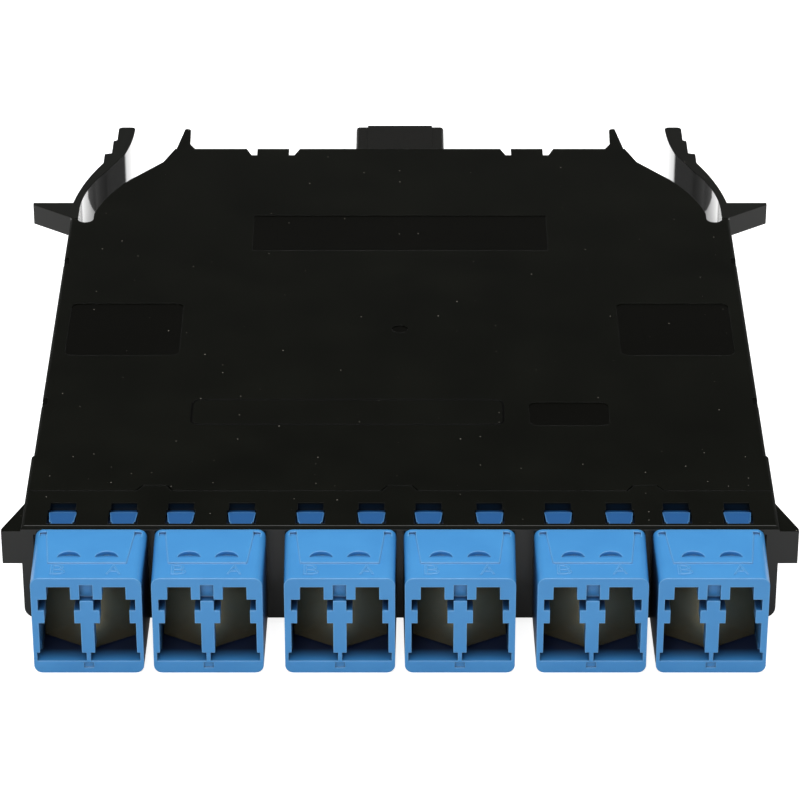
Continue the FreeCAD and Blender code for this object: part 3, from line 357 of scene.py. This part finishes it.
# blackened bronze strip: a dark olive oxide skin that goes gold where light reaches it
OXIDE_PATCH = 2 * MM
bronze, tree, shader, place = finish_named("blackened_bronze_strip")
shader.inputs["Metallic"].default_value = 0.82
shader.inputs["Roughness"].default_value = 0.27
cloud = add(tree, "TexNoise", {"Vector": place}, {"Scale": 1 / OXIDE_PATCH, "Detail": 3.0})
tone = add(tree, "ValToRGB", {"Fac": cloud.outputs["Fac"]})
ramp = tone.color_ramp.elements
ramp[0].position, ramp[0].color = 0.3, linear("#877d60")
ramp[1].position, ramp[1].color = 0.7, linear("#90866a")
tree.links.new(tone.outputs["Color"], shader.inputs["Base Color"])
dress(bronze, *[f"shutter_{n}{port}" for n in range(1, 7) for port in "ab"])

# --- Plugs and fibres inside the housing ---------------------------------------------------------
# Duplex plugs behind the adapters, their buffered fibres and the fan-out that gathers them.
# They are closed in by the lid.

# moulded blue plug body: duller than the adapters
PLUG_FLOW = 2 * MM
plug_blue, tree, shader, place = finish_named("moulded_blue_plug")
shader.inputs["Roughness"].default_value = 0.5
cloud = add(tree, "TexNoise", {"Vector": place}, {"Scale": 1 / PLUG_FLOW, "Detail": 3.0})
tone = add(tree, "ValToRGB", {"Fac": cloud.outputs["Fac"]})
tone.color_ramp.elements[0].color = linear("#2b62ad")
tone.color_ramp.elements[1].color = linear("#3471be")
tree.links.new(tone.outputs["Color"], shader.inputs["Base Color"])
dress(plug_blue, *[f"inner_plug_{n}" for n in range(1, 7)])

# extruded buffer on glass fibre: yellow with faint draw lines
DRAW_MARK = 1.5 * MM
buffer_yellow, tree, shader, place = finish_named("extruded_yellow_buffer")
shader.inputs["Roughness"].default_value = 0.4
cloud = add(tree, "TexNoise", {"Vector": place}, {"Scale": 1 / DRAW_MARK, "Detail": 3.0})
tone = add(tree, "ValToRGB", {"Fac": cloud.outputs["Fac"]})
tone.color_ramp.elements[0].color = linear("#d9b62c")
tone.color_ramp.elements[1].color = linear("#ecca3c")
tree.links.new(tone.outputs["Color"], shader.inputs["Base Color"])
dress(buffer_yellow, *[f"fibre_{n}{port}" for n in range(1, 7) for port in "ab"])

# --- Trunk port at the rear ----------------------------------------------------------------------
# A flanged multi-fibre adapter in the rear wall holds the trunk plug of the fan-out.
# Both are moulded in black glass-filled polymer.

# glass-filled black polymer: greyer than the housing, with short pale fibres in the skin
GLASS_FLECK = 0.4 * MM
TRUNK_EDGE = 0.12 * MM
filled_black, tree, shader, place = finish_named("moulded_glass_filled_black")
shader.inputs["Roughness"].default_value = 0.55
shader.inputs["Specular IOR Level"].default_value = 0.25
flecks = add(tree, "TexNoise", {"Vector": place}, {"Scale": 1 / GLASS_FLECK, "Detail": 5.0})
tone = add(tree, "ValToRGB", {"Fac": flecks.outputs["Fac"]})
ramp = tone.color_ramp.elements
ramp[0].position, ramp[0].color = 0.4, linear("#0c0c09")
ramp[1].position, ramp[1].color = 0.75, linear("#151410")
tree.links.new(tone.outputs["Color"], shader.inputs["Base Color"])
edge = add(tree, "Bevel", None, {"Radius": TRUNK_EDGE}, samples=6)
relief = add(tree, "Bump", {"Height": flecks.outputs["Fac"], "Normal": edge.outputs["Normal"]},
             {"Strength": 0.3, "Distance": GRAIN_DEPTH})
tree.links.new(relief.outputs["Normal"], shader.inputs["Normal"])
dress(filled_black, "mpo_adapter", "mpo_plug", "fanout")

# --- Floor, light and camera ---------------------------------------------------------------------
# A white table, a large soft lamp overhead and two smaller ones in front, as in a small product
# studio.

TABLE_HALF = 2.0
SHOWN_WHITE = 0.88       # the table's own white as it is seen directly
GLOSS_NEAR = 0.1         # and the painted glow that gloss sees on it, in front of the cassette and behind it
GLOSS_BEHIND = 2.2
floor_mesh = bpy.data.meshes.new("table")
corners = np.array([(-1, -1, 0), (1, -1, 0), (1, 1, 0), (-1, 1, 0)]) * TABLE_HALF
floor_mesh.from_pydata(corners.tolist(), [], [(0, 1, 2, 3)])
floor = bpy.data.objects.new("table", floor_mesh)
bpy.context.collection.objects.link(floor)
# white laminate: it shows white, and the object's soft shadow stays on it
laminate = bpy.data.materials.new("white_laminate")
laminate.use_nodes = True
tree = laminate.node_tree
tree.nodes.remove(tree.nodes["Principled BSDF"])
matt = add(tree, "BsdfDiffuse", None, {"Color": linear("#dadada")})
seen = add(tree, "LightPath")
direct = add(tree, "Math",
             {0: seen.outputs["Is Camera Ray"], 1: seen.outputs["Is Transmission Ray"]},
             operation="MAXIMUM")
strong = add(tree, "Math", {0: direct.outputs[0]}, {1: SHOWN_WHITE}, operation="MULTIPLY")
# painted light: for gloss the table glows, dim in front and strong behind the cassette up to the
# back wall, so that the polished slot walls mirror a bright patch
spot = add(tree, "SeparateXYZ", {"Vector": add(tree, "TexCoord").outputs["Object"]})
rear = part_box("housing_cover")[1][1]
painted_gloss_glow = add(tree, "MapRange", {"Value": spot.outputs["Y"]},
               {"From Min": rear - 22 * MM, "From Max": rear - 2 * MM,
                "To Min": GLOSS_NEAR, "To Max": GLOSS_BEHIND})
weak = add(tree, "Math", {0: seen.outputs["Is Glossy Ray"], 1: painted_gloss_glow.outputs["Result"]},
           operation="MULTIPLY")
level = add(tree, "Math", {0: strong.outputs[0], 1: weak.outputs[0]}, operation="MAXIMUM")
glow = add(tree, "Emission", {"Strength": level.outputs[0]})
both = add(tree, "AddShader", {0: matt.outputs[0], 1: glow.outputs[0]})
tree.links.new(both.outputs[0], tree.nodes["Material Output"].inputs["Surface"])
floor_mesh.materials.append(laminate)

world = bpy.data.worlds.new("studio")
bpy.context.scene.world = world
world.use_nodes = True
tree = world.node_tree
room = tree.nodes["Background"]
# gloss sees pale walls low down and a dark ceiling; the object itself gets one even dim level
sky = add(tree, "TexCoord")
height = add(tree, "SeparateXYZ", {"Vector": sky.outputs["Generated"]})
level = add(tree, "ValToRGB", {"Fac": height.outputs["Z"]})
ramp = level.color_ramp.elements
ramp[0].position, ramp[0].color = 0.04, (1.0, 1.0, 1.0, 1.0)
ramp[1].position, ramp[1].color = 0.22, (0.09, 0.09, 0.09, 1.0)
ramp.new(0.6).color = (0.015, 0.015, 0.015, 1.0)
seen = add(tree, "LightPath")
dim = add(tree, "Mix", {"Factor": seen.outputs["Is Diffuse Ray"], "A": level.outputs["Color"]},
          {"B": (0.22, 0.22, 0.22, 1.0)}, data_type="RGBA")
direct = add(tree, "Math",
             {0: seen.outputs["Is Camera Ray"], 1: seen.outputs["Is Transmission Ray"]},
             operation="MAXIMUM")
wall = add(tree, "Mix", {"Factor": direct.outputs[0], "A": dim.outputs["Result"]},
           {"B": (1.0, 1.0, 1.0, 1.0)}, data_type="RGBA")
tree.links.new(wall.outputs["Result"], room.inputs["Color"])


def lamp(name, place, aim, width, watts):
    """A square soft lamp at place that looks at aim: its -Z axis is turned onto that line."""
    made = bpy.data.lights.new(name, "AREA")
    made.shape = "SQUARE"
    made.size = width
    made.energy = watts
    holder = bpy.data.objects.new(name, made)
    bpy.context.collection.objects.link(holder)
    holder.location = place
    away = np.array(aim, float) - np.array(place, float)
    flat = math.hypot(away[0], away[1])
    holder.rotation_euler = (math.atan2(flat, -away[2]), 0.0, math.atan2(-away[0], away[1]))


lamp("overhead", (0.0, 0.12, 1.0), (0.0, 0.12, 0.0), 1.0, 10.0)
lamp("key", (-0.25, -0.85, 0.62), (0, 0, 0), 0.4, 2.2)
lamp("front", (0.0, -1.0, 0.22), (0, 0, 0), 0.45, 1.3)

# A long lens looks down on the lid's front edge at 30 degrees, from this far in front and above.
CAMERA_AWAY = 387.8 * MM
CAMERA_ABOVE = 240.7 * MM
lens = bpy.data.cameras.new("view")
lens.sensor_width = 36.0
lens.lens = 179.5
lens.clip_start = 0.01
camera = bpy.data.objects.new("view", lens)
bpy.context.collection.objects.link(camera)
camera.location = (0.0, front_face - CAMERA_AWAY, lid_top + CAMERA_ABOVE)
camera.rotation_euler = (math.radians(60.0), 0.0, 0.0)
bpy.context.scene.camera = camera

bpy.context.scene.view_settings.view_transform = "Standard"
